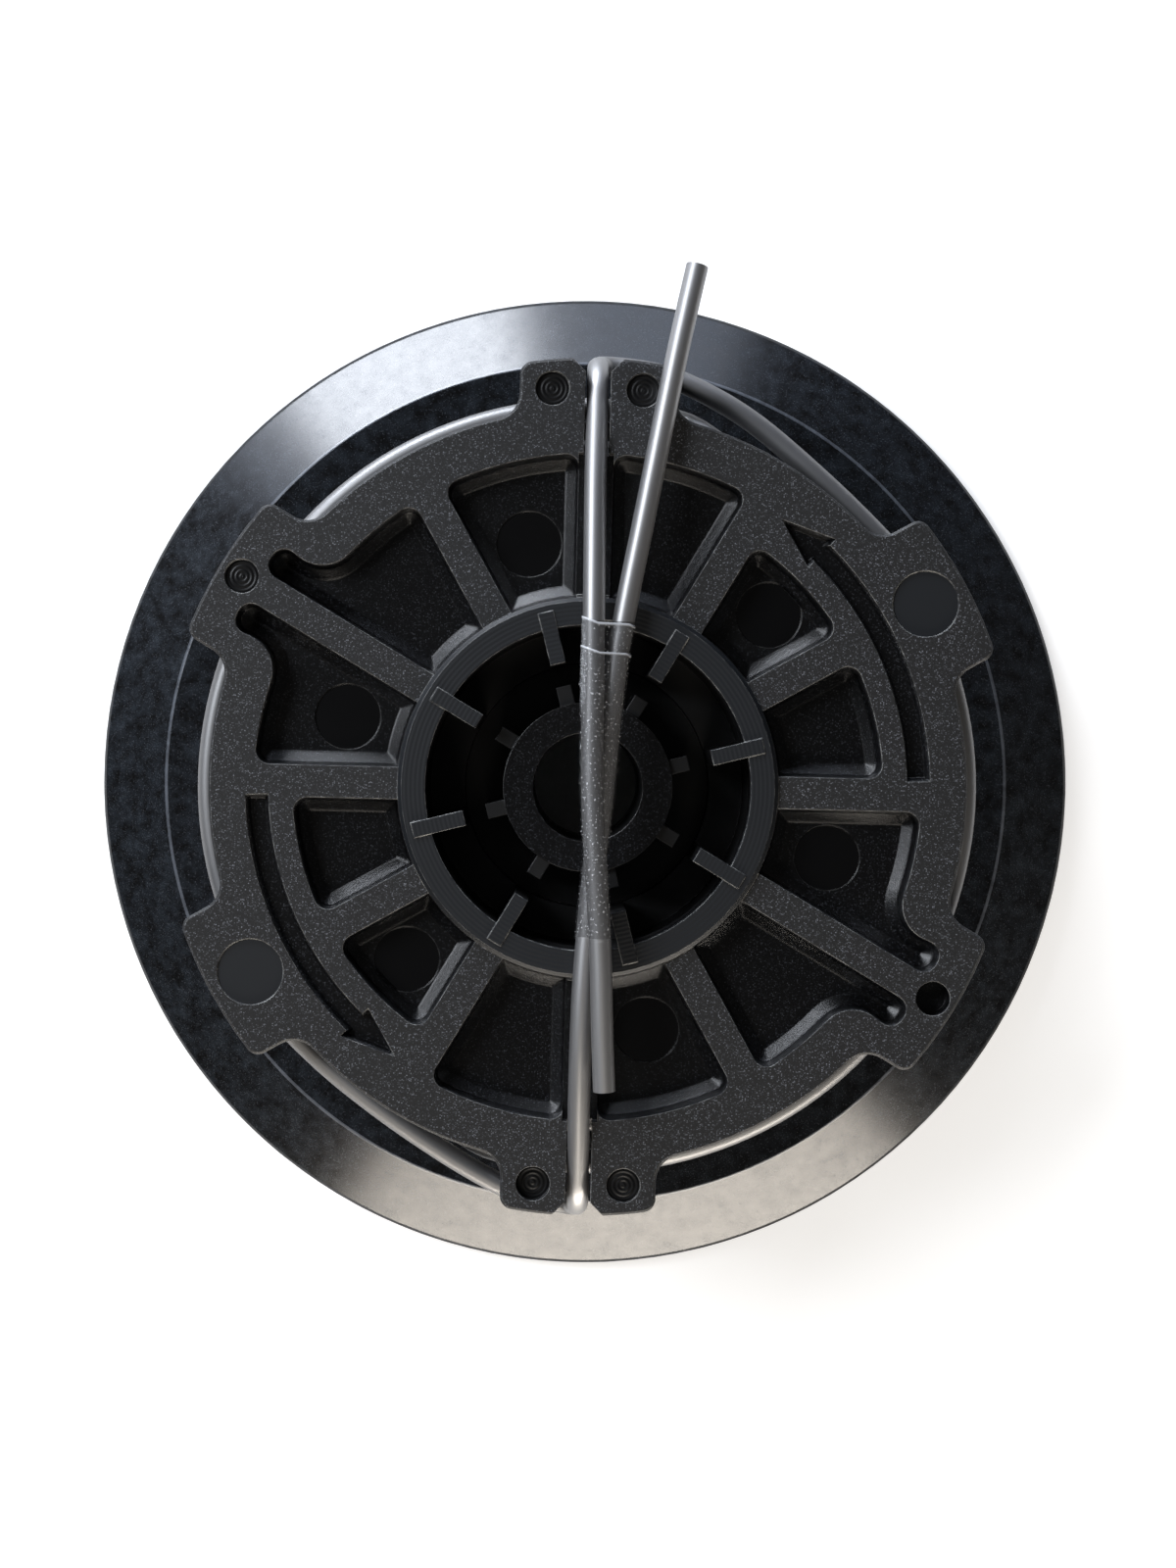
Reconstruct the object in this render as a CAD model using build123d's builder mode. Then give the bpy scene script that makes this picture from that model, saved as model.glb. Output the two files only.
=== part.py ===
from build123d import *
import math
import os

os.makedirs("parts", exist_ok=True)

# Sizes in millimetres. The axis is Z, the spool stands on the rim of its lower flange.
line_d = 2.0
fit_gap = 0.1

# Lower flange: a flat disc whose edge slopes down to a thin rim
rim_r = 47.5
rim_h = 1.5
rim_round = 0.7
slope_r = 40.7
slope_drop = 4.5
flange_wall = 2.4

# Barrel, hub tube and the well between them
barrel_r = 17.2
barrel_wall = 2.5
channel_h = 16.0
bore_r = 5.0
hub_wall = 2.75
hub_drop = 3.0
hub_foot = 0.8
well_floor_h = 10.0
well_floor_t = 2.5
ledge_w = 3.2
ledge_h = 2.0

# Drive teeth on the well's wall and the ribs on the hub that face them
tooth_count = 8
tooth_start = 15.0
tooth_w = 1.4
tooth_l = 3.2
tooth_root = 1.6
tooth_proud = 0.12
hub_rib_l = 1.75
hub_rib_drop = 0.6

# Upper flange: a plate with six lobes
plate_t = 5.0
plate_r = 34.3
lobe_h = 4.5
lobe_w = 14.1
lobe_count = 6
lobe_start = 30.0
lobe_corner = 1.2
lobe_root = 2.4
edge_bevel = 0.2

# Collar round the well, standing above the ribs
collar_rise = 0.6
collar_edge = 0.35
collar_step = 0.3

# Pockets between the radial ribs
rib_count = 12
rib_w = 2.9
pocket_d = 3.0
pocket_draft = 6.0
foot_h = 0.65
foot_draft = 58.0
plate_rim_w = 4.1
pocket_corner = 1.3
flare_wall = 3.45
flare_flat = 0.4
flare_root = 3.3
flare_angles = (150.0, 330.0)

# Direction arrows sunk in the wide part of the rim
arrow_angles = (0.0, 180.0)
arrow_span = 60.0
arrow_land_w = 7.6
arrow_inset = 4.4
arrow_w = 2.1
arrow_tail = 2.5
arrow_neck = 46.5
arrow_tip = 55.7
arrow_barb = 0.75
arrow_d = 1.3
arrow_draft = 15.0

# Round marks of the mould: flat discs in the floors and on two lobes, and small dimples
disc_r = 3.0
disc_d = 0.15
floor_disc_inset = 7.4
floor_disc_count = 6
floor_disc_start = 45.0
lobe_disc_inset = 4.05
lobe_disc_angles = (30.0, 210.0)
dimple_r = 1.55
dimple_d = 0.4
deep_dimple_d = 1.0
dimple_inset = 2.85
dimple_side = 4.1
lobe_hole_inset = 2.2
lobe_hole_d = 3.0

# Slots that let the line ends up through the flange, and the lowered ribs they lie on
slot_w = 2.3
slot_mouth = 1.25
slot_lead = 0.8
rib_cut = 1.4

# Winding, and where the line ends run
wound_inset = 0.5
wound_dip = 0.55

# Clear tape round both line ends
tape_t = 0.15
tape_gap = 0.12
tape_stations = (14.2, 10.1, 5.0, 0.4, -3.2, -6.7, -10.4, -13.4)

# Heights and radii that follow from the sizes
flat_z = rim_h + slope_drop
plate_z = flat_z + channel_h
face_z = plate_z + plate_t
collar_z = face_z + collar_rise
hub_z = face_z - hub_drop
hub_r = bore_r + hub_wall
well_r = barrel_r - barrel_wall
floor_z = well_floor_h + well_floor_t
ledge_z = floor_z + ledge_h
under_z = flat_z - flange_wall
rib_top_z = face_z - rib_cut
slope_run = rim_r - slope_r
slope_len = math.hypot(slope_run, slope_drop)
under_rim_r = rim_r - (flange_wall * slope_len / slope_drop) + rim_h * slope_run / slope_drop
under_slope_r = under_rim_r - under_z * slope_run / slope_drop
lobe_r = plate_r + lobe_h
pocket_in_r = barrel_r - barrel_wall / 2
pocket_z = face_z - pocket_d
foot_z = pocket_z + foot_h
foot_inset = (pocket_d - foot_h) * math.tan(math.radians(pocket_draft))
foot_run = foot_h * math.tan(math.radians(foot_draft))
pocket_out_r = plate_r - plate_rim_w
flare_r = lobe_r - flare_wall
flare_half = math.degrees(math.asin((rib_w / 2 + 2 * pocket_corner + flare_flat) / flare_r))
arrow_land_r = plate_r - arrow_land_w
arrow_r = plate_r - arrow_inset
arrow_head_w = arrow_w + 2 * arrow_barb
wound_r = plate_r - wound_inset
turn_r = wound_r + fit_gap + line_d / 2


def polar(radius, degrees, height=0.0):
    """Point at a radius, an angle in degrees and a height."""
    angle = math.radians(degrees)
    return (radius * math.cos(angle), radius * math.sin(angle), height)


def bend_radii(points):
    """Radius of each bend of a line end: 0.45 of its shorter run over half its turn's tangent."""
    radii = []
    for before, corner, after in zip(points, points[1:], points[2:]):
        run_in = Vector(corner) - Vector(before)
        run_out = Vector(after) - Vector(corner)
        half_turn = math.radians(run_in.get_angle(run_out)) / 2
        radii.append(0.45 * min(run_in.length, run_out.length) / math.tan(half_turn))
    return radii


def at_flare_root(vertex):
    """Whether a corner of the pockets is one where a flare leaves their outer arc."""
    sides = [angle + turn for angle in flare_angles for turn in (-flare_half, flare_half)]
    return min(math.dist((vertex.X, vertex.Y), polar(pocket_out_r, side)[:2]) for side in sides) < 0.01


def at_y(points, y):
    """Point of a route where it crosses a plane of constant y, on its way along the face."""
    for start, end in zip(points, points[1:]):
        low, high = sorted((start[1], end[1]))
        if low <= y <= high and start[2] >= face_z - line_d and end[2] >= face_z - line_d:
            share = (y - start[1]) / (end[1] - start[1])
            return Vector(start) + (Vector(end) - Vector(start)) * share
    raise ValueError("the route doesn't cross this plane")


# Moulded spool: core of revolution, lobed upper flange, ribs, teeth and slots
with BuildPart() as spool_body:
    with BuildSketch(Plane.XZ):
        with BuildLine():
            Polyline(
                (bore_r, hub_foot),
                (hub_r, hub_foot),
                (hub_r, well_floor_h),
                (well_r, well_floor_h),
                (well_r, under_z),
                (under_slope_r, under_z),
                (under_rim_r, 0),
                (rim_r, 0),
                (rim_r, rim_h),
                (slope_r, flat_z),
                (barrel_r, flat_z),
                (barrel_r, pocket_z),
                (well_r, pocket_z),
                (well_r, ledge_z),
                (well_r - ledge_w, ledge_z),
                (well_r - ledge_w, floor_z),
                (hub_r, floor_z),
                (hub_r, hub_z),
                (bore_r, hub_z),
                close=True,
            )
        make_face()
    revolve(axis=Axis.Z)
    rim_edge = spool_body.edges().filter_by(GeomType.CIRCLE).filter_by(lambda e: e.radius > rim_r - 0.01)
    fillet(rim_edge.sort_by(Axis.Z)[-1], rim_round)

    # Upper flange plate: a disc with lobes, rounded at their corners and roots
    with BuildSketch(Plane.XY.offset(plate_z)) as plate_outline:
        with PolarLocations(lobe_r / 2, lobe_count, start_angle=lobe_start):
            Rectangle(lobe_r * 1.2, lobe_w)
        Circle(lobe_r, mode=Mode.INTERSECT)
        Circle(plate_r)
        Circle(well_r + barrel_wall / 2, mode=Mode.SUBTRACT)
        tips = plate_outline.vertices().filter_by(lambda v: math.hypot(v.X, v.Y) > lobe_r - 0.01)
        fillet(tips, lobe_corner)
        roots = plate_outline.vertices().filter_by(lambda v: abs(math.hypot(v.X, v.Y) - plate_r) < 0.01)
        fillet(roots.filter_by(lambda v: len(v.edges()) < 3), lobe_root)
    extrude(amount=plate_t)
    rim_top = spool_body.edges().filter_by(
        lambda e: abs(e.center().Z - face_z) < 0.01 and math.hypot(e.center().X, e.center().Y) > pocket_out_r
    )
    chamfer(rim_top, edge_bevel)

    # Pockets between the ribs, short behind the arrows and running out into two of the lobes
    with BuildSketch(Plane.XY.offset(face_z)) as pockets:
        Circle(pocket_out_r)
        for angle in flare_angles:
            with BuildLine():
                Line(polar(pocket_in_r, angle - flare_half), polar(flare_r, angle - flare_half))
                CenterArc((0, 0), flare_r, angle - flare_half, 2 * flare_half)
                Line(polar(flare_r, angle + flare_half), polar(pocket_in_r, angle + flare_half))
                Line(polar(pocket_in_r, angle + flare_half), polar(pocket_in_r, angle - flare_half))
            make_face()
        for angle in arrow_angles:
            with BuildLine():
                Line(polar(arrow_land_r, angle), polar(plate_r, angle))
                CenterArc((0, 0), plate_r, angle, arrow_span)
                Line(polar(plate_r, angle + arrow_span), polar(arrow_land_r, angle + arrow_span))
                CenterArc((0, 0), arrow_land_r, angle, arrow_span)
            make_face(mode=Mode.SUBTRACT)
        Circle(pocket_in_r, mode=Mode.SUBTRACT)
        with PolarLocations(lobe_r / 2, rib_count):
            Rectangle(lobe_r, rib_w, mode=Mode.SUBTRACT)
        outer = pockets.vertices().filter_by(lambda v: math.hypot(v.X, v.Y) > barrel_r)
        fillet(outer.filter_by(lambda v: not at_flare_root(v)), pocket_corner)
        fillet(pockets.vertices().filter_by(at_flare_root), flare_root)
    extrude(amount=foot_z - face_z, taper=pocket_draft, mode=Mode.SUBTRACT)
    with BuildSketch(Plane.XY.offset(foot_z)):
        add(pockets.sketch_local)
        offset(amount=-foot_inset, kind=Kind.ARC, mode=Mode.REPLACE)
    extrude(amount=-foot_h, taper=foot_draft, mode=Mode.SUBTRACT)

    # Collar: the barrel's wall goes on up through the pockets, thicker towards their floors
    with BuildSketch(Plane.XZ):
        with BuildLine():
            Polyline(
                (well_r, plate_z),
                (barrel_r + collar_step + foot_run, plate_z),
                (barrel_r + collar_step + foot_run, pocket_z),
                (barrel_r + collar_step, foot_z),
                (barrel_r, collar_z - collar_edge),
                (barrel_r - collar_edge, collar_z),
                (well_r, collar_z),
                close=True,
            )
        make_face()
    revolve(axis=Axis.Z)

    # Direction arrows
    with BuildSketch(Plane.XY.offset(face_z)):
        for angle in arrow_angles:
            with BuildLine():
                tail = angle + arrow_tail
                neck = angle + arrow_neck
                inner_r = arrow_r - arrow_w / 2
                outer_r = arrow_r + arrow_w / 2
                Line(polar(inner_r, tail), polar(outer_r, tail))
                CenterArc((0, 0), outer_r, tail, neck - tail)
                Line(polar(outer_r, neck), polar(arrow_r + arrow_head_w / 2, neck))
                Line(polar(arrow_r + arrow_head_w / 2, neck), polar(arrow_r, angle + arrow_tip))
                Line(polar(arrow_r, angle + arrow_tip), polar(arrow_r - arrow_head_w / 2, neck))
                Line(polar(arrow_r - arrow_head_w / 2, neck), polar(inner_r, neck))
                CenterArc((0, 0), inner_r, tail, neck - tail)
            make_face()
    extrude(amount=-arrow_d, taper=arrow_draft, mode=Mode.SUBTRACT)

    # Mould marks: discs in the pocket floors and on two lobes
    with BuildSketch(Plane.XY.offset(pocket_z)):
        with PolarLocations(pocket_out_r - floor_disc_inset, floor_disc_count, start_angle=floor_disc_start):
            Circle(disc_r)
    extrude(amount=-disc_d, mode=Mode.SUBTRACT)
    with BuildSketch(Plane.XY.offset(face_z)):
        with Locations(*[polar(lobe_r - lobe_disc_inset, angle) for angle in lobe_disc_angles]):
            Circle(disc_r)
    extrude(amount=-disc_d, mode=Mode.SUBTRACT)

    # Flat dimples beside the slots and on one lobe, one of them deeper, and the hole in the lobe across
    dimple_y = lobe_r - dimple_inset
    for depth, places in (
        (dimple_d, [(-dimple_side, dimple_y), (dimple_side, dimple_y), (dimple_side, -dimple_y)]),
        (dimple_d, [polar(lobe_r - lobe_hole_inset, flare_angles[0])]),
        (deep_dimple_d, [(-dimple_side, -dimple_y)]),
        (lobe_hole_d, [polar(lobe_r - lobe_hole_inset, flare_angles[1])]),
    ):
        with BuildSketch(Plane.XY.offset(face_z)):
            with Locations(*places):
                Circle(dimple_r)
        extrude(amount=-depth, mode=Mode.SUBTRACT)

    # Drive teeth in the well and the shorter ribs on the hub
    with BuildSketch(Plane.XY.offset(ledge_z)):
        with PolarLocations(well_r + (tooth_root - tooth_l) / 2, tooth_count, start_angle=tooth_start):
            Rectangle(tooth_l + tooth_root, tooth_w)
    extrude(amount=collar_z + tooth_proud - ledge_z)
    with BuildSketch(Plane.XY.offset(floor_z)):
        with PolarLocations(hub_r + hub_rib_l / 2 - hub_wall / 4, tooth_count, start_angle=tooth_start):
            Rectangle(hub_rib_l + hub_wall / 2, tooth_w)
    extrude(amount=hub_z - hub_rib_drop - floor_z)

    # Line slots: right through the lobe and rim, flared at the mouth and below, with the rib behind lowered
    with BuildSketch(Plane.XY.offset(plate_z)):
        for side in (1, -1):
            with BuildLine():
                Polyline(
                    (-slot_w / 2, side * (pocket_out_r - fit_gap)),
                    (-slot_w / 2, side * (lobe_r - slot_mouth)),
                    (-slot_w / 2 - 2 * slot_mouth, side * (lobe_r + slot_mouth)),
                    (slot_w / 2 + 2 * slot_mouth, side * (lobe_r + slot_mouth)),
                    (slot_w / 2, side * (lobe_r - slot_mouth)),
                    (slot_w / 2, side * (pocket_out_r - fit_gap)),
                    close=True,
                )
            make_face()
    extrude(amount=plate_t, mode=Mode.SUBTRACT)
    for side in (1, -1):
        with BuildSketch(Plane.XZ.offset(-side * pocket_out_r)):
            with BuildLine():
                Polyline(
                    (-slot_w / 2 - slot_lead, plate_z),
                    (-slot_w / 2, plate_z + slot_lead),
                    (slot_w / 2, plate_z + slot_lead),
                    (slot_w / 2 + slot_lead, plate_z),
                    close=True,
                )
            make_face()
        extrude(amount=-side * (lobe_r - pocket_out_r + slot_mouth), mode=Mode.SUBTRACT)
    with BuildSketch(Plane.XY.offset(rib_top_z)):
        with Locations((0, (barrel_r + pocket_out_r) / 2), (0, -(barrel_r + pocket_out_r) / 2)):
            Rectangle(rib_w + 2 * rib_cut * math.tan(math.radians(pocket_draft)), pocket_out_r - barrel_r)
        Circle(barrel_r + collar_step, mode=Mode.SUBTRACT)
    extrude(amount=rib_cut, mode=Mode.SUBTRACT)

spool_body.part.label = "spool_body"
export_step(spool_body.part, "parts/spool_body.step")

# Winding: a ring that fills the channel, its outer face dipping between the turns
turns = round(channel_h / line_d)
turn_h = (channel_h - 2 * fit_gap) / turns
with BuildPart() as wound_line:
    with BuildSketch(Plane.XZ):
        with BuildLine():
            outline = [(barrel_r + fit_gap, flat_z + fit_gap), (wound_r - wound_dip, flat_z + fit_gap)]
            for turn in range(turns):
                low = flat_z + fit_gap + turn * turn_h
                outline.append((wound_r, low + 0.3 * turn_h))
                outline.append((wound_r, low + 0.7 * turn_h))
                outline.append((wound_r - wound_dip, low + turn_h))
            outline.append((barrel_r + fit_gap, plate_z - fit_gap))
            Polyline(*outline, close=True)
        make_face()
    revolve(axis=Axis.Z)

wound_line.part.label = "wound_line"
export_step(wound_line.part, "parts/wound_line.step")

# Routes of the line ends: the last turn on the winding, under a lobe, up the slot and along the face
corner_r = turn_r / math.cos(math.radians(15))
wound_z = plate_z - line_d / 2 - fit_gap
lobe_z = wound_z - 0.2
mouth_y = lobe_r
slot_z = rib_top_z - 0.6
over_z = collar_z + tooth_proud + line_d / 2 + fit_gap / 2
upper_route = [
    polar(turn_r, 258, wound_z - 1.2),
    polar(corner_r, 273, wound_z - 0.9),
    polar(corner_r, 303, wound_z - 0.3),
    polar(corner_r, 333, wound_z - 0.05),
    polar(corner_r, 3, wound_z),
    polar(corner_r, 33, wound_z),
    polar(35.4, 46.5, wound_z - 0.02),
    polar(35.8, 57.5, wound_z - 0.05),
    polar(37.0, 67, wound_z - 0.1),
    polar(37.9, 74.5, wound_z - 0.15),
    polar(mouth_y - 0.05, 81.3, lobe_z),
    (0, mouth_y, lobe_z),
    (0, mouth_y - 1.0, slot_z),
    (0, 33.6, slot_z + 1.5),
    (-0.05, 28.0, over_z - 0.7),
    (0.02, 22.3, over_z + 0.5),
    (0.1, 16.4, over_z + 1.35),
    (0.18, 9.8, over_z + 1.9),
    (0.25, 0.4, over_z + 2.35),
    (0.8, -6.7, over_z + 2.6),
    (1.5, -15.1, over_z + 2.45),
    (1.75, -21.7, over_z + 2.15),
    (2.1, -27.0, over_z + 1.75),
]
lower_route = [
    polar(turn_r, 78, wound_z - 1.2),
    polar(corner_r, 93, wound_z - 0.9),
    polar(corner_r, 123, wound_z - 0.3),
    polar(corner_r, 153, wound_z - 0.05),
    polar(corner_r, 183, wound_z),
    polar(corner_r, 213, wound_z),
    polar(35.4, 226.5, wound_z - 0.02),
    polar(35.4, 238.5, wound_z - 0.05),
    polar(36.2, 249, wound_z - 0.1),
    polar(37.2, 256, wound_z - 0.15),
    polar(mouth_y - 0.55, 262, lobe_z),
    (0, -mouth_y, lobe_z),
    (0, -mouth_y + 1.0, slot_z),
    (-0.03, -33.6, slot_z + 1.5),
    (-0.12, -28.2, over_z - 0.8),
    (-0.12, -22.5, over_z + 0.1),
    (0, -16.5, over_z + 0.45),
    (0.7, -6.7, over_z + 0.47),
    (1.35, 0.4, over_z + 0.5),
    (2.05, 10.1, over_z + 0.5),
    (3.0, 16.6, over_z + 0.4),
    (4.25, 23.4, over_z + 0.15),
    (5.4, 30.0, over_z - 0.15),
    (6.4, 35.8, over_z - 0.45),
    (7.45, 41.5, over_z - 0.9),
    (8.65, 47.25, over_z - 1.6),
]

with BuildPart() as line_end_upper:
    with BuildLine() as upper_path:
        FilletPolyline(*upper_route, radius=bend_radii(upper_route))
    with BuildSketch(Plane(upper_path.line @ 0, z_dir=upper_path.line % 0)):
        Circle(line_d / 2)
    sweep()

line_end_upper.part.label = "line_end_upper"
export_step(line_end_upper.part, "parts/line_end_upper.step")

with BuildPart() as line_end_lower:
    with BuildLine() as lower_path:
        FilletPolyline(*lower_route, radius=bend_radii(lower_route))
    with BuildSketch(Plane(lower_path.line @ 0, z_dir=lower_path.line % 0)):
        Circle(line_d / 2)
    sweep()

line_end_lower.part.label = "line_end_lower"
export_step(line_end_lower.part, "parts/line_end_lower.step")

print("bend radii, upper end:", [round(r, 1) for r in bend_radii(upper_route)])
print("bend radii, lower end:", [round(r, 1) for r in bend_radii(lower_route)])
for name, path, tube in (("upper", upper_path, line_end_upper), ("lower", lower_path, line_end_lower)):
    length = sum(edge.length for edge in path.edges())
    drawn = math.pi * line_d**2 / 4 * length
    print(name, "end: length", round(length, 1), "of", round(tube.part.volume, 1), "for", round(drawn, 1))

# Clear tape: a thin sleeve drawn round both line ends where they cross
with BuildPart() as tape_wrap:
    for wall, mode in ((tape_gap + tape_t, Mode.ADD), (tape_gap, Mode.SUBTRACT)):
        for y in tape_stations:
            over = at_y(upper_route, y)
            under = at_y(lower_route, y)
            span = over - under
            lean = math.degrees(math.atan2(span.Z, span.X))
            with BuildSketch(Plane((over + under) / 2, x_dir=(1, 0, 0), z_dir=(0, -1, 0))):
                SlotCenterToCenter(math.hypot(span.X, span.Z), line_d + 2 * wall, rotation=lean)
        loft(ruled=True, mode=mode)

tape_wrap.part.label = "tape_wrap"
export_step(tape_wrap.part, "parts/tape_wrap.step")
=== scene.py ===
import bpy
import math
import numpy as np
from mathutils import Matrix, Vector


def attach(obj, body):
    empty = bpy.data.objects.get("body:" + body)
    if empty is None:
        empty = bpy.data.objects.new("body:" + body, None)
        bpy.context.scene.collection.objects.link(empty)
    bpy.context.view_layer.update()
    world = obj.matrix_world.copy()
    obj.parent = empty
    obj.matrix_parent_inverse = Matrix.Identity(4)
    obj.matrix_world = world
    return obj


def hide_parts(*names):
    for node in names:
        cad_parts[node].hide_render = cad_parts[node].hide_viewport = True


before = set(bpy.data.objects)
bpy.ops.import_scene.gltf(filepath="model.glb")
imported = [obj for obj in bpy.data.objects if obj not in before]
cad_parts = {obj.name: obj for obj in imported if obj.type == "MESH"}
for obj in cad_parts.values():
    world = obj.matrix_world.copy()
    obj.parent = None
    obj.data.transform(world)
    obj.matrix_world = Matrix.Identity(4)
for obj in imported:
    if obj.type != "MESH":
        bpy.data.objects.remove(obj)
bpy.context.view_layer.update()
scene = bpy.context.scene
scene.view_settings.view_transform = "Standard"

# Sizes of the spool and its line in millimetres, the same values as in the part's source
MM = 0.001
LINE_D = 2.0
PLATE_Z = 22.0
FACE_Z = 27.0
FLAT_Z = 6.0
RIM_R = 47.5
SLOPE_R = 40.7
BARREL_R = 17.2
WELL_R = 14.7
HUB_Z = 24.0
POCKET_FLOOR_Z = 24.0
DISC_D = 0.15
DIMPLE_DEPTHS = (0.4, 1.0)
DIMPLES = [(-4.1, 35.95), (4.1, 35.95), (4.1, -35.95), (-4.1, -35.95), (-31.7, 18.3)]
TURN_R = 34.9
WOUND_R = 33.8
FIT_GAP = 0.1
TURN_H = 1.975

# The tape's film in millimetres: its thickness, and each layer's start and end along Y and its
# lift off the line
TAPE_T = 0.04
TAPE_START, TAPE_END, TAPE_LIFT = 15.0, -13.3, 0.11
OVER_START, OVER_END, OVER_LIFT = 12.4, -13.6, 0.18

# Blisters of caught air in the tape: place along Y, angle round the sleeve and size
BLISTERS = [
    (9.0, 30, 0.2), (4.6, 20, 0.22), (4.5, 45, 0.18),
    (1.2, 25, 0.2), (0.3, 50, 0.22), (-4.0, 60, 0.25),
]
BLISTER_H = 0.14

# The spool stands turned this much to the camera, so lights and camera turn with the picture
PICTURE_TURN = math.radians(1.45)

# The photograph's frame in pixels, its focal length in the same pixels, and the camera's place
FRAME_H = 1600
FOCAL_PX = 3107.5
SENSOR_H = 36.0
EYE = (-2.6, 5.2, 302.0)
AIM = (0.0, 0.354, FACE_Z)


def linear(colour):
    """Linear RGB of an sRGB hex colour: each channel through the sRGB curve."""
    parts = [int(colour[i:i + 2], 16) / 255 for i in (1, 3, 5)]
    return tuple(
        c / 12.92 if c <= 0.04045 else ((c + 0.055) / 1.055) ** 2.4 for c in parts
    ) + (1.0,)


def add(tree, kind, inputs=None, output=None, **settings):
    """Adds a shader node, sets its properties, then sets or links its inputs by name or number.
    Gives the output of that name, or the whole node if none is named."""
    node = tree.nodes.new("ShaderNode" + kind)
    for key, value in settings.items():
        setattr(node, key, value)
    for key, value in (inputs or {}).items():
        if isinstance(value, bpy.types.NodeSocket):
            tree.links.new(value, node.inputs[key])
        else:
            node.inputs[key].default_value = value
    return node.outputs[output] if output else node


def polar(radius, degrees, height):
    """Point at a radius, an angle in degrees and a height."""
    angle = math.radians(degrees)
    return (radius * math.cos(angle), radius * math.sin(angle), height)


# Camera above the face, as the photograph has it
camera_data = bpy.data.cameras.new("camera")
camera_data.sensor_fit = "VERTICAL"
camera_data.sensor_height = SENSOR_H
camera_data.lens = SENSOR_H * FOCAL_PX / FRAME_H
camera = bpy.data.objects.new("camera", camera_data)
scene.collection.objects.link(camera)
scene.camera = camera
turn = Matrix.Rotation(PICTURE_TURN, 3, "Z")
eye = turn @ Vector(EYE) * MM
target = turn @ Vector(AIM) * MM
ahead = (target - eye).normalized()
side = ahead.cross(turn @ Vector((0, 1, 0))).normalized()
axes = Matrix((side, side.cross(ahead), -ahead)).transposed()
camera.matrix_world = Matrix.Translation(eye) @ axes.to_4x4()

# Routes of the two line ends, point for point as in the part's source
wound_z = PLATE_Z - LINE_D / 2 - FIT_GAP
start_drop = 1.2
lobe_z = wound_z - 0.2
mouth_y = 38.8
slot_z = 25.0
over_z = 28.77
corner_r = TURN_R / math.cos(math.radians(15))
upper_route = [
    polar(TURN_R, 258, wound_z - start_drop),
    polar(corner_r, 273, wound_z - 0.9),
    polar(corner_r, 303, wound_z - 0.3),
    polar(corner_r, 333, wound_z - 0.05),
    polar(corner_r, 3, wound_z),
    polar(corner_r, 33, wound_z),
    polar(35.4, 46.5, wound_z - 0.02),
    polar(35.8, 57.5, wound_z - 0.05),
    polar(37.0, 67, wound_z - 0.1),
    polar(37.9, 74.5, wound_z - 0.15),
    polar(mouth_y - 0.05, 81.3, lobe_z),
    (0, mouth_y, lobe_z),
    (0, mouth_y - 1.0, slot_z),
    (0, 33.6, slot_z + 1.5),
    (-0.05, 28.0, over_z - 0.7),
    (0.02, 22.3, over_z + 0.5),
    (0.1, 16.4, over_z + 1.35),
    (0.18, 9.8, over_z + 1.9),
    (0.25, 0.4, over_z + 2.35),
    (0.8, -6.7, over_z + 2.6),
    (1.5, -15.1, over_z + 2.45),
    (1.75, -21.7, over_z + 2.15),
    (2.1, -27.0, over_z + 1.75),
]
lower_route = [
    polar(TURN_R, 78, wound_z - start_drop),
    polar(corner_r, 93, wound_z - 0.9),
    polar(corner_r, 123, wound_z - 0.3),
    polar(corner_r, 153, wound_z - 0.05),
    polar(corner_r, 183, wound_z),
    polar(corner_r, 213, wound_z),
    polar(35.4, 226.5, wound_z - 0.02),
    polar(35.4, 238.5, wound_z - 0.05),
    polar(36.2, 249, wound_z - 0.1),
    polar(37.2, 256, wound_z - 0.15),
    polar(mouth_y - 0.55, 262, lobe_z),
    (0, -mouth_y, lobe_z),
    (0, -mouth_y + 1.0, slot_z),
    (-0.03, -33.6, slot_z + 1.5),
    (-0.12, -28.2, over_z - 0.8),
    (-0.12, -22.5, over_z + 0.1),
    (0, -16.5, over_z + 0.45),
    (0.7, -6.7, over_z + 0.47),
    (1.35, 0.4, over_z + 0.5),
    (2.05, 10.1, over_z + 0.5),
    (3.0, 16.6, over_z + 0.4),
    (4.25, 23.4, over_z + 0.15),
    (5.4, 30.0, over_z - 0.15),
    (6.4, 35.8, over_z - 0.45),
    (7.45, 41.5, over_z - 0.9),
    (8.65, 47.25, over_z - 1.6),
]


def route_curve(name, route, thickness):
    """A smooth line: one open NURBS spline of order 3 with the route's points as control points."""
    data = bpy.data.curves.new(name, "CURVE")
    data.dimensions = "3D"
    data.resolution_u = 12
    spline = data.splines.new("NURBS")
    spline.points.add(len(route) - 1)
    for point, place in zip(spline.points, route):
        point.co = (*(MM * c for c in place), 1.0)
    spline.use_endpoint_u = True
    spline.order_u = 3
    spline.use_smooth = True
    data.bevel_depth = thickness / 2 * MM
    data.bevel_resolution = 6
    data.use_fill_caps = thickness > 0
    piece = bpy.data.objects.new(name, data)
    scene.collection.objects.link(piece)
    return piece


def route_points(route):
    """Points in millimetres along the route's own NURBS spline, read from a curve with no bevel."""
    thin = route_curve("thin_route", route, 0)
    bpy.context.view_layer.update()
    mesh = bpy.data.meshes.new_from_object(thin)
    points = np.empty(len(mesh.vertices) * 3)
    mesh.vertices.foreach_get("co", points)
    bpy.data.meshes.remove(mesh)
    bpy.data.objects.remove(thin)
    return points.reshape(-1, 3) / MM


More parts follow.
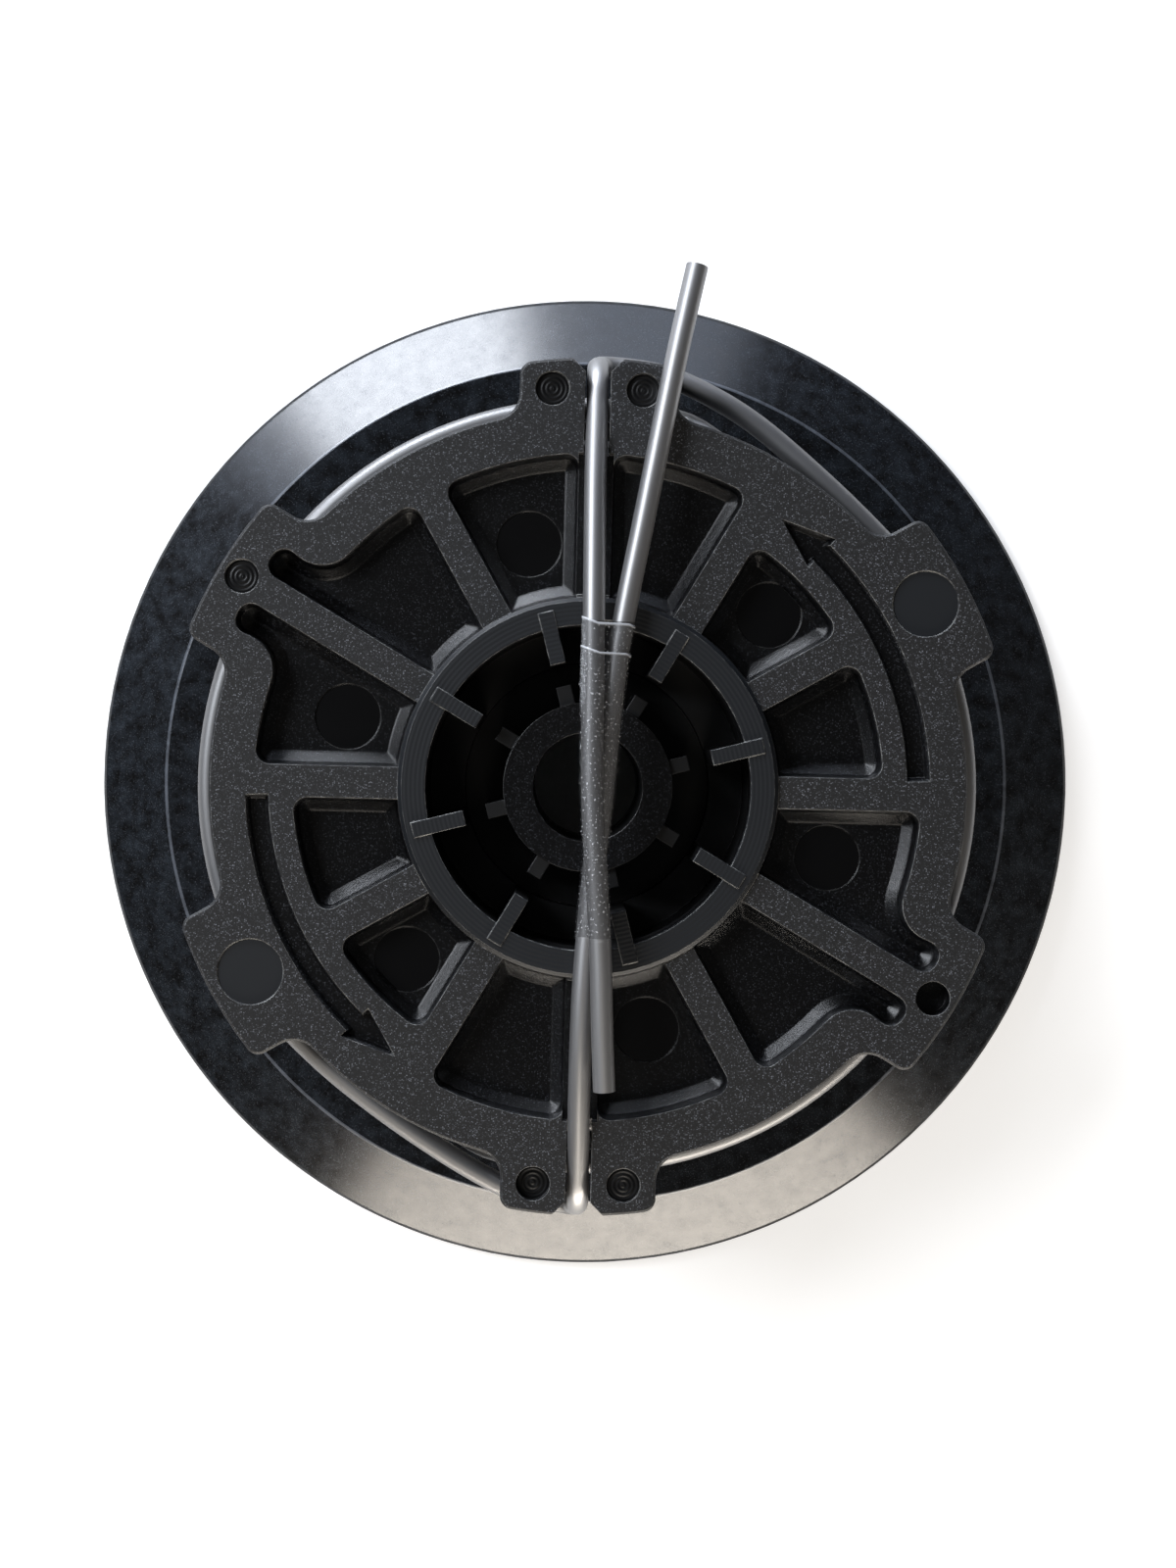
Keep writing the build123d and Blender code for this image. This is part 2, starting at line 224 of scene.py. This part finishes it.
def grid_faces(rows, columns, joined, first):
    """Quads of a grid whose last column joins its first, and whose last row does too if it is
    joined, counted from a first vertex, and the corners' UVs: how far round and how far along,
    each from 0 to 1."""
    spans = rows if joined else rows - 1
    row, column = np.meshgrid(np.arange(spans), np.arange(columns), indexing="ij")
    here, beyond = row * columns, (row + 1) % rows * columns
    after = (column + 1) % columns
    corners = [here + column, here + after, beyond + after, beyond + column]
    quads = first + np.stack(corners, -1).reshape(-1, 4)
    u = np.stack([column, column + 1, column + 1, column], -1) / columns
    v = np.stack([row, row, row + 1, row + 1], -1) / spans
    return quads.tolist(), np.stack([u, v], -1).reshape(-1, 2)


def mesh_piece(name, sheets):
    """One mesh object at the origin from sheets, each a grid of points in millimetres closed round
    its columns. A sheet's rows either join up in a ring or end in a flat cap."""
    points, faces, places, first = [], [], [], 0
    for grid, joined in sheets:
        rows, columns = grid.shape[:2]
        quads, uv = grid_faces(rows, columns, joined, first)
        points.append(grid.reshape(-1, 3))
        faces += quads
        places.append(uv)
        if not joined:
            faces.append([first + k for k in reversed(range(columns))])
            faces.append([first + (rows - 1) * columns + k for k in range(columns)])
            places.append(np.zeros((2 * columns, 2)))
        first += rows * columns
    data = bpy.data.meshes.new(name)
    data.from_pydata((np.concatenate(points) * MM).tolist(), [], faces)
    data.uv_layers.new(name="UVMap").data.foreach_set("uv", np.concatenate(places).ravel())
    data.shade_smooth()
    data.update()
    piece = bpy.data.objects.new(name, data)
    scene.collection.objects.link(piece)
    return piece


def ease(t):
    """Smooth step from 0 to 1: three t squared less two t cubed, held at its ends."""
    t = np.clip(t, 0, 1)
    return t * t * (3 - 2 * t)


def strand_round(degrees, radius, height, sides=14):
    """Round strand laid round the axis: at each angle a circle in the plane of the axis, at a
    radius and a height."""
    angle = np.radians(degrees)[:, None]
    around = np.linspace(0, 2 * np.pi, sides, endpoint=False)[None, :]
    reach = radius[:, None] + LINE_D / 2 * np.cos(around)
    rise = height[:, None] - LINE_D / 2 * np.sin(around)
    return np.stack([reach * np.cos(angle), reach * np.sin(angle), rise + 0 * angle], -1)


def wound_strand(end_degrees, share):
    """One of two strands wound side by side: it climbs two rows a turn, wandering a little, sinks
    in at its start, and its last few degrees rise on to the layer outside, where the loose end
    takes over."""
    climb, sink, sink_depth = 16.0, 40, 1.6
    low = FLAT_Z + FIT_GAP + TURN_H / 2
    high = PLATE_Z - FIT_GAP - TURN_H / 2
    wound = (high - low) / (2 * TURN_H) * 360
    degrees = np.linspace(end_degrees - climb - wound, end_degrees, 560)
    up = ease((degrees - end_degrees + climb) / climb)
    down = ease((degrees[0] + sink - degrees) / sink)
    wave = np.radians(degrees)
    radius = WOUND_R - LINE_D / 2 + (TURN_R - WOUND_R + LINE_D / 2) * up - sink_depth * down
    radius += 0.09 * np.sin(1.37 * wave + share) * (1 - up)
    height = np.minimum(low + (degrees - degrees[0]) / 360 * 2 * TURN_H, high)
    height -= (high - wound_z + start_drop) * up**3
    height += 0.1 * np.sin(0.83 * wave + 2 * share) * (1 - up) * (1 - down)
    return strand_round(degrees, radius, height)


def layer_strand(start_degrees):
    """A strand of the layer inside, wound the other way: it comes down two rows a turn."""
    sweep, below_plate, layer_depth = 1260, 1.2, 2.75
    degrees = np.linspace(start_degrees, start_degrees + sweep, 420)
    height = PLATE_Z - below_plate - (degrees - start_degrees) / 360 * 2 * TURN_H
    return strand_round(degrees, np.full_like(degrees, WOUND_R - layer_depth), height, sides=10)


def core_ring():
    """Solid core of the winding: a four-cornered profile turned round the axis."""
    inner, outer = BARREL_R + FIT_GAP, 31.0
    low, high = FLAT_Z + FIT_GAP, PLATE_Z - FIT_GAP
    profile = np.array([(inner, low), (outer, low), (outer, high), (inner, high)])
    angle = np.linspace(0, 2 * np.pi, 96, endpoint=False)[None, :]
    reach = profile[:, :1]
    return np.stack(
        [reach * np.cos(angle), reach * np.sin(angle), profile[:, 1:] + 0 * angle], -1
    )


def tape_sleeve(over, under, start, end, lift):
    """Clear tape drawn tight round both line ends: at each station along Y the stadium round the
    two, lifted off them, with small ripples and a few blisters of caught air, and its cut edge a
    little slanted. The sheet goes down the outside and comes back up the inside, one film
    thickness in."""
    steps, sides, slanted = 150, 64, 0.4
    stations = np.linspace(start, end, steps)
    stations = np.concatenate([stations, stations[::-1]])
    lift = lift - np.repeat([0.0, TAPE_T], steps)[:, None]
    top, low = (
        np.stack([np.interp(stations, line[:, 1], line[:, k]) for k in (0, 2)], -1)
        for line in (over[np.argsort(over[:, 1])], under[np.argsort(under[:, 1])])
    )
    span = top - low
    lean = np.arctan2(span[:, 1], span[:, 0])[:, None]
    around = np.linspace(-np.pi / 2, 3 * np.pi / 2, sides, endpoint=False)[None, :]
    ends = np.where((around < np.pi / 2)[..., None], top[:, None, :], low[:, None, :])
    far = stations[:, None]
    ripple = 0.015 * np.sin(far * 1.9 + 2 * around) + 0.01 * np.sin(far * 4.7 - 3 * around)
    wall = LINE_D / 2 + lift + ripple
    for y, degrees, size in BLISTERS:
        away = (far - y) ** 2 + (around - np.radians(degrees)) ** 2
        wall = wall + BLISTER_H * np.exp(-away / size**2)
    x = ends[..., 0] + wall * np.cos(around + lean)
    z = ends[..., 1] + wall * np.sin(around + lean)
    slant = slanted * np.cos(around + lean) * (0.3 + 0.7 * (far - end) / (start - end))
    return np.stack([x, far - slant, z], -1)


line_end_upper = route_curve("line_end_upper_cord", upper_route, LINE_D)
line_end_lower = route_curve("line_end_lower_cord", lower_route, LINE_D)
upper_line = route_points(upper_route)
lower_line = route_points(lower_route)
wound_line = mesh_piece(
    "wound_line_turns",
    [
        (wound_strand(258, 0.4), False),
        (wound_strand(78, 2.1), False),
        (layer_strand(20), False),
        (layer_strand(200), False),
        (core_ring(), True),
    ],
)
over_face = upper_line[upper_line[:, 2] > FACE_Z - LINE_D]
under_it = lower_line[lower_line[:, 2] > FACE_Z - LINE_D]
tape_wrap = mesh_piece(
    "tape_wrap_film",
    [
        (tape_sleeve(over_face, under_it, TAPE_START, TAPE_END, TAPE_LIFT), True),
        (tape_sleeve(over_face, under_it, OVER_START, OVER_END, OVER_LIFT), True),
    ],
)

# Moulded black nylon: dull spark-eroded mould grain with painted glints on the upper flange, a hazy
# satin shine on the lower one, smooth ejector marks and a thin pale flash along the edges
plastic = bpy.data.materials.new("moulded_black_nylon")
plastic.use_nodes = True
tree = plastic.node_tree
shader = tree.nodes["Principled BSDF"]
place = add(tree, "TexCoord", output="Object")
height = add(tree, "SeparateXYZ", {"Vector": place}, "Z")
across = add(tree, "VectorMath", {0: place, 1: (1, 1, 0)}, "Vector", operation="MULTIPLY")
reach = add(tree, "VectorMath", {0: across}, "Value", operation="LENGTH")

# Masks by height and by distance from the axis, 1 inside and 0 outside
on_top, high, off_floor, near_face = (
    add(tree, "Math", {0: height, 1: z * MM}, "Value", operation="GREATER_THAN")
    for z in (PLATE_Z + 0.2, FACE_Z + 0.25, POCKET_FLOOR_Z + 0.03, FACE_Z - 0.5)
)
on_flange, below_hub, under_ribs, in_pocket = (
    add(tree, "Math", {0: height, 1: z * MM}, "Value", operation="LESS_THAN")
    for z in (FLAT_Z + 0.3, HUB_Z - 0.1, POCKET_FLOOR_Z + 1.2, FACE_Z - 0.6)
)
floor_disc, lobe_disc, shallow, deep = (
    add(tree, "Math", {0: height, 1: (z - depth) * MM, 2: 0.03 * MM}, "Value", operation="COMPARE")
    for z, depth in (
        (POCKET_FLOOR_Z, DISC_D), (FACE_Z, DISC_D), *((FACE_Z, depth) for depth in DIMPLE_DEPTHS)
    )
)
in_well = add(tree, "Math", {0: reach, 1: (WELL_R + 0.05) * MM}, "Value", operation="LESS_THAN")
near_rim = add(tree, "Math", {0: reach, 1: (RIM_R - 0.3) * MM}, "Value", operation="GREATER_THAN")
in_deep = add(tree, "Math", {0: in_well, 1: below_hub}, "Value", operation="MULTIPLY")
on_collar = add(tree, "Math", {0: high, 1: in_deep}, "Value", operation="MAXIMUM")
discs = add(tree, "Math", {0: floor_disc, 1: lobe_disc}, "Value", operation="MAXIMUM")
pits = add(tree, "Math", {0: shallow, 1: deep}, "Value", operation="MAXIMUM")
marks = add(tree, "Math", {0: discs, 1: pits}, "Value", operation="MAXIMUM")
smooth = add(tree, "Math", {0: marks, 1: on_collar}, "Value", operation="MAXIMUM")
rough_skin = add(
    tree, "Math", {0: on_top, 1: smooth}, "Value", operation="SUBTRACT", use_clamp=True
)

# Sloping feet round the pocket floors and the collar
round_floor = add(tree, "Math", {0: off_floor, 1: under_ribs}, "Value", operation="MULTIPLY")
on_foot = add(
    tree, "Math", {0: round_floor, 1: in_well}, "Value", operation="SUBTRACT", use_clamp=True
)

# Rounded edges: 0.15 mm on the ribs' tops and the marks, 0.4 mm on the feet
rounding = add(
    tree, "MapRange", {"Value": on_foot, "To Min": 0.15 * MM, "To Max": 0.4 * MM}, "Result"
)
edge = add(tree, "Bevel", {"Radius": rounding}, "Normal", samples=6)

# Grain of 0.1 mm, flatter in the pockets and deeper on their feet
grain = add(
    tree, "TexNoise",
    {"Vector": place, "Scale": 1 / (0.1 * MM), "Detail": 1.0, "Roughness": 0.6}, "Fac",
)
face_depth = add(tree, "MapRange", {"Value": in_pocket, "To Min": 0.4, "To Max": 0.25}, "Result")
foot_depth = add(
    tree, "Math", {0: on_foot, 1: 0.3, 2: face_depth}, "Value", operation="MULTIPLY_ADD"
)
grain_depth = add(
    tree, "Math", {0: rough_skin, 1: foot_depth, 2: 0.03}, "Value", operation="MULTIPLY_ADD"
)
bump = add(
    tree, "Bump",
    {"Strength": grain_depth, "Distance": 0.03 * MM, "Height": grain, "Normal": edge}, "Normal",
)

# Turning marks: rings 0.4 mm apart, on the collar round the axis, and stronger in each dimple
# round its own middle
offsets = [
    add(tree, "VectorMath", {0: across, 1: (x * MM, y * MM, 0)}, "Value", operation="DISTANCE")
    for x, y in DIMPLES
]
middle = offsets[0]
for off in offsets[1:]:
    middle = add(tree, "Math", {0: middle, 1: off}, "Value", operation="MINIMUM")
ring_reach = add(
    tree, "Mix", {"Factor": pits, "A": reach, "B": middle}, "Result", data_type="FLOAT"
)
ring_turns = add(
    tree, "Math", {0: ring_reach, 1: 2 * math.pi / (0.4 * MM)}, "Value", operation="MULTIPLY"
)
rings = add(tree, "Math", {0: ring_turns}, "Value", operation="SINE")
turned_skin = add(tree, "Math", {0: high, 1: pits}, "Value", operation="MAXIMUM")
ring_strength = add(tree, "Math", {0: pits, 1: 0.6, 2: 0.25}, "Value", operation="MULTIPLY_ADD")
ring_depth = add(
    tree, "Math", {0: turned_skin, 1: ring_strength}, "Value", operation="MULTIPLY"
)
ringed = add(
    tree, "Bump",
    {"Strength": ring_depth, "Distance": 0.016 * MM, "Height": rings, "Normal": bump}, "Normal",
)
tree.links.new(ringed, shader.inputs["Normal"])

# Painted glints: here and there the tip of a grain is painted paler, as if it caught the light,
# some more than others. The grain is too fine to show, so the glints are drawn as cells of 0.13 mm.
cells = add(tree, "TexVoronoi", {"Vector": place, "Scale": 1 / (0.13 * MM)})
dots = add(
    tree, "MapRange",
    {"Value": cells.outputs["Distance"], "From Min": 0.6, "From Max": 0.15}, "Result",
)
chance = add(tree, "SeparateColor", {"Color": cells.outputs["Color"]}, "Red")
luck = add(tree, "Math", {0: chance, 1: 5.0}, "Value", operation="POWER")
tips = add(tree, "Math", {0: dots, 1: luck}, "Value", operation="MULTIPLY")
bare = add(tree, "MapRange", {"Value": in_pocket, "To Min": 1.0, "To Max": 0.35}, "Result")
on_skin = add(tree, "Math", {0: rough_skin, 1: bare}, "Value", operation="MULTIPLY")
shown = add(tree, "Math", {0: on_flange, 1: 0.2, 2: on_skin}, "Value", operation="MULTIPLY_ADD")
painted_glints = add(tree, "Math", {0: tips, 1: shown}, "Value", operation="MULTIPLY")

# Flash on the face's edges, the rim and faintly the floor discs: where the rounded normal leaves
# the face's own, broken up along the edge in patches of 1.3 mm
own = add(tree, "NewGeometry", output="True Normal")
along = add(tree, "VectorMath", {0: edge, 1: own}, "Value", operation="DOT_PRODUCT")
turned = add(tree, "MapRange", {"Value": along, "From Min": 0.97, "From Max": 0.8}, "Result")
broken = add(
    tree, "TexNoise",
    {"Vector": place, "Scale": 1 / (1.3 * MM), "Detail": 4.0, "Roughness": 0.7}, "Fac",
)
patchy = add(
    tree, "MapRange",
    {"Value": broken, "From Min": 0.4, "From Max": 0.65, "To Max": 0.7}, "Result",
)
near_disc = add(
    tree, "Math", {0: height, 1: (POCKET_FLOOR_Z - DISC_D / 2) * MM, 2: 0.1 * MM}, "Value",
    operation="COMPARE",
)
outer_edges = add(tree, "Math", {0: near_face, 1: near_rim}, "Value", operation="MAXIMUM")
flashed = add(
    tree, "Math", {0: near_disc, 1: 0.25, 2: outer_edges}, "Value", operation="MULTIPLY_ADD"
)
pale_edge = add(tree, "Math", {0: turned, 1: flashed}, "Value", operation="MULTIPLY")
flash = add(tree, "Math", {0: pale_edge, 1: patchy}, "Value", operation="MULTIPLY")

# Haze of handling on the lower flange: mottled patches of 1.6 mm with fine specks
cloud = add(
    tree, "TexNoise",
    {"Vector": place, "Scale": 1 / (1.6 * MM), "Detail": 6.0, "Roughness": 0.75}, "Fac",
)
cloudy = add(tree, "MapRange", {"Value": cloud, "From Min": 0.38, "From Max": 0.72}, "Result")
haze = add(tree, "Math", {0: cloudy, 1: on_flange}, "Value", operation="MULTIPLY")

# Painted highlight along the edge where the flange's flat turns into its slope, 0.3 mm wide
slope_edge = add(
    tree, "Math", {0: reach, 1: (SLOPE_R + 0.05) * MM, 2: 0.15 * MM}, "Value", operation="COMPARE"
)
flange_edge = add(tree, "Math", {0: slope_edge, 1: on_flange}, "Value", operation="MULTIPLY")
edge_highlight_patches = add(
    tree, "MapRange",
    {"Value": cloud, "From Min": 0.3, "From Max": 0.6, "To Min": 0.4}, "Result",
)
painted_edge_highlight = add(tree, "Math", {0: flange_edge, 1: edge_highlight_patches}, "Value", operation="MULTIPLY")

# Colour in layers over the black: haze, painted edge highlight, painted bluish sheen on the smooth
# tops, painted glints and flash
# Painted sheen: the collar's top and the lobes' discs are paler and bluish, standing in for cool
# shine
painted_cool_sheen = add(tree, "Math", {0: high, 1: lobe_disc}, "Value", operation="MAXIMUM")
colour = linear("#070708")
for where, shade in (
    (haze, "#21262c"),
    (painted_edge_highlight, "#50545b"),
    (painted_cool_sheen, "#0f1216"),
    (painted_glints, "#7c7f86"),
    (flash, "#c0c0bc"),
):
    colour = add(
        tree, "Mix", {"Factor": where, "A": colour, "B": linear(shade)}, "Result", data_type="RGBA"
    )
tree.links.new(colour, shader.inputs["Base Color"])

# Dull face, glossier pockets, smooth marks and collar with shinier floor discs and dimples, and a
# satin flange that the haze dulls
textured = add(tree, "MapRange", {"Value": in_pocket, "To Min": 0.58, "To Max": 0.28}, "Result")
shiny = add(tree, "MapRange", {"Value": floor_disc, "To Min": 0.46, "To Max": 0.24}, "Result")
polished = add(tree, "Math", {0: pits, 1: -0.13, 2: shiny}, "Value", operation="MULTIPLY_ADD")
skin = add(
    tree, "Mix", {"Factor": smooth, "A": textured, "B": polished}, "Result", data_type="FLOAT"
)
satin = add(tree, "MapRange", {"Value": haze, "To Min": 0.21, "To Max": 0.28}, "Result")
finish = add(tree, "Mix", {"Factor": on_flange, "A": skin, "B": satin}, "Result", data_type="FLOAT")
tree.links.new(finish, shader.inputs["Roughness"])
shader.inputs["IOR"].default_value = 1.53
shader.inputs["Specular IOR Level"].default_value = 0.45

# Drawn nylon trimmer line: grey filament with a broad soft shine, dimmer under the tape's glue, and
# with painted shade on the wound turns below the plate. Its indices are matched to the photo's
# strong shine and are higher than nylon's own.
line = bpy.data.materials.new("drawn_grey_nylon")
line.use_nodes = True
tree = line.node_tree
shader = tree.nodes["Principled BSDF"]
place = add(tree, "TexCoord", output="Object")
scuff = add(
    tree, "TexNoise",
    {"Vector": place, "Scale": 1 / (0.5 * MM), "Detail": 4.0, "Roughness": 0.7}, "Fac",
)
spot = add(tree, "SeparateXYZ", {"Vector": place})
# Painted shade: the wound turns below the plate are a little darker, also rougher with less coat
wound_in_shade = add(
    tree, "Math", {0: spot.outputs["Z"], 1: PLATE_Z * MM}, "Value", operation="LESS_THAN"
)
tape_middle, tape_half = (TAPE_START + TAPE_END) / 2, (TAPE_START - TAPE_END) / 2
along_tape = add(
    tree, "Math", {0: spot.outputs["Y"], 1: tape_middle * MM, 2: tape_half * MM}, "Value",
    operation="COMPARE",
)
taped = add(
    tree, "Math", {0: along_tape, 1: wound_in_shade}, "Value", operation="SUBTRACT", use_clamp=True
)
colour = linear("#343436")
for where, shade in ((scuff, "#3e3e40"), (taped, "#1f1f21"), (wound_in_shade, "#323234")):
    colour = add(
        tree, "Mix", {"Factor": where, "A": colour, "B": linear(shade)}, "Result", data_type="RGBA"
    )
tree.links.new(colour, shader.inputs["Base Color"])
rough = add(tree, "MapRange", {"Value": scuff, "To Min": 0.46, "To Max": 0.56}, "Result")
coat = 1.0
for where, duller, less_coat in ((taped, 0.15, -0.75), (wound_in_shade, 0.1, -0.5)):
    rough = add(tree, "Math", {0: where, 1: duller, 2: rough}, "Value", operation="MULTIPLY_ADD")
    coat = add(tree, "Math", {0: where, 1: less_coat, 2: coat}, "Value", operation="MULTIPLY_ADD")
tree.links.new(rough, shader.inputs["Roughness"])
tree.links.new(coat, shader.inputs["Coat Weight"])
bump = add(
    tree, "Bump", {"Strength": 0.08, "Distance": 0.05 * MM, "Height": scuff}, "Normal"
)
tree.links.new(bump, shader.inputs["Normal"])
shader.inputs["IOR"].default_value = 1.8
shader.inputs["Specular IOR Level"].default_value = 0.6
shader.inputs["Coat Roughness"].default_value = 0.43
shader.inputs["Coat IOR"].default_value = 3.0

# Clear polypropylene tape: thin glossy film, whitish at its cut ends and where air is caught under
# it, in specks of 0.22 mm and as finer grain along the upper line's left flank
tape = bpy.data.materials.new("clear_polypropylene_film")
tape.use_nodes = True
tree = tape.node_tree
shader = tree.nodes["Principled BSDF"]
coords = add(tree, "TexCoord")
place = coords.outputs["Object"]
specks = add(
    tree, "TexNoise",
    {"Vector": place, "Scale": 1 / (0.22 * MM), "Detail": 2.0, "Roughness": 0.6}, "Fac",
)
caught = add(
    tree, "MapRange",
    {"Value": specks, "From Min": 0.66, "From Max": 0.7, "To Min": 0.006, "To Max": 0.8}, "Result",
)
far = add(tree, "SeparateXYZ", {"Vector": coords.outputs["UV"]}, "Y")
cut_end = add(
    tree, "MapRange",
    {"Value": far, "From Min": 0.002, "From Max": 0.005, "To Min": 0.75, "To Max": 0.0}, "Result",
)
fine = add(
    tree, "TexNoise", {"Vector": place, "Scale": 1 / (0.13 * MM), "Detail": 2.0}, "Fac"
)
grainy = add(
    tree, "MapRange",
    {"Value": fine, "From Min": 0.52, "From Max": 0.66, "To Max": 0.5}, "Result",
)
spot = add(tree, "SeparateXYZ", {"Vector": place})
flank = add(
    tree, "MapRange",
    {"Value": spot.outputs["X"], "From Min": -0.4 * MM, "From Max": -0.6 * MM}, "Result",
)
upper_part = add(
    tree, "MapRange",
    {"Value": spot.outputs["Y"], "From Min": 6.5 * MM, "From Max": 8.5 * MM}, "Result",
)
on_flank = add(tree, "Math", {0: flank, 1: upper_part}, "Value", operation="MULTIPLY")
flank_air = add(tree, "Math", {0: grainy, 1: on_flank}, "Value", operation="MULTIPLY")
air = add(tree, "Math", {0: caught, 1: flank_air}, "Value", operation="MAXIMUM")
whitish = add(tree, "Math", {0: air, 1: cut_end}, "Value", operation="MAXIMUM")
tree.links.new(whitish, shader.inputs["Alpha"])
shader.inputs["Base Color"].default_value = linear("#c9cbce")
shader.inputs["Roughness"].default_value = 0.15
shader.inputs["IOR"].default_value = 1.49

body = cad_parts["spool_body"]
body.data.materials.clear()
body.data.materials.append(plastic)
for piece in (wound_line, line_end_upper, line_end_lower):
    piece.data.materials.append(line)
tape_wrap.data.materials.append(tape)

# White paper floor just under the spool: it glows a little for the camera, so that it comes out
# white and still shows the spool's shadow, but not where it is seen through the bore
FLOOR_HALF, FLOOR_Z = 2, -0.0002
floor_data = bpy.data.meshes.new("floor")
floor_data.from_pydata(
    [(x * FLOOR_HALF, y * FLOOR_HALF, FLOOR_Z) for x, y in ((-1, -1), (1, -1), (1, 1), (-1, 1))],
    [], [(0, 1, 2, 3)],
)
floor = bpy.data.objects.new("floor", floor_data)
scene.collection.objects.link(floor)
paper = bpy.data.materials.new("white_paper")
paper.use_nodes = True
tree = paper.node_tree
shader = tree.nodes["Principled BSDF"]
shader.inputs["Base Color"].default_value = linear("#e6e6e6")
shader.inputs["Roughness"].default_value = 0.9
to_camera = add(tree, "LightPath", output="Is Camera Ray")
place = add(tree, "TexCoord", output="Object")
away = add(tree, "VectorMath", {0: place}, "Value", operation="LENGTH")
outside = add(tree, "Math", {0: away, 1: 40 * MM}, "Value", operation="GREATER_THAN")
seen = add(tree, "Math", {0: to_camera, 1: outside}, "Value", operation="MULTIPLY")
glow = add(tree, "Math", {0: seen, 1: 0.5}, "Value", operation="MULTIPLY")
shader.inputs["Emission Color"].default_value = (1, 1, 1, 1)
tree.links.new(glow, shader.inputs["Emission Strength"])
floor_data.materials.append(paper)

# World: dim for the spool, white for the camera
world = bpy.data.worlds.new("studio")
scene.world = world
world.use_nodes = True
tree = world.node_tree
to_camera = add(tree, "LightPath", output="Is Camera Ray")
level = add(tree, "MapRange", {"Value": to_camera, "To Min": 0.04, "To Max": 1.0}, "Result")
background = tree.nodes["Background"]
background.inputs["Color"].default_value = (1, 1, 1, 1)
tree.links.new(level, background.inputs["Strength"])


def softbox(name, azimuth, elevation, distance, width, height, radiance, colour):
    """Rectangular lamp at an azimuth of the picture and an elevation in degrees, facing the spool;
    its power is its radiance times its area times pi."""
    lamp = bpy.data.lights.new(name, "AREA")
    lamp.shape = "RECTANGLE"
    lamp.size = width
    lamp.size_y = height
    lamp.energy = radiance * width * height * math.pi
    lamp.color = linear(colour)[:3]
    piece = bpy.data.objects.new(name, lamp)
    scene.collection.objects.link(piece)
    a, e = math.radians(azimuth) + PICTURE_TURN, math.radians(elevation)
    out = Vector((math.cos(a) * math.cos(e), math.sin(a) * math.cos(e), math.sin(e)))
    across = Vector((-math.sin(a), math.cos(a), 0))
    facing = Matrix((across, out.cross(across), out)).transposed()
    piece.matrix_world = Matrix.Translation(out * distance) @ facing.to_4x4()
    piece.visible_camera = False


# Cool light from the top and left of the picture, warm light from its foot
softbox("key_low", 113, 16, 0.8, 0.42, 0.21, 23.0, "#f2f7ff")
softbox("key_high", 150, 45, 0.8, 0.34, 0.32, 13.0, "#f2f7ff")
softbox("cool_panel", 104, 16, 0.95, 1.25, 0.26, 3.7, "#dfeaff")
softbox("warm_low", 276, 11, 0.8, 1.06, 0.17, 17.5, "#fff6ea")
softbox("warm_high", 268, 52, 0.9, 0.3, 0.24, 5.5, "#fff6ea")

for piece, node in (
    (wound_line, "wound_line"),
    (line_end_upper, "line_end_upper"),
    (line_end_lower, "line_end_lower"),
    (tape_wrap, "tape_wrap"),
):
    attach(piece, "root")
    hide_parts(node)
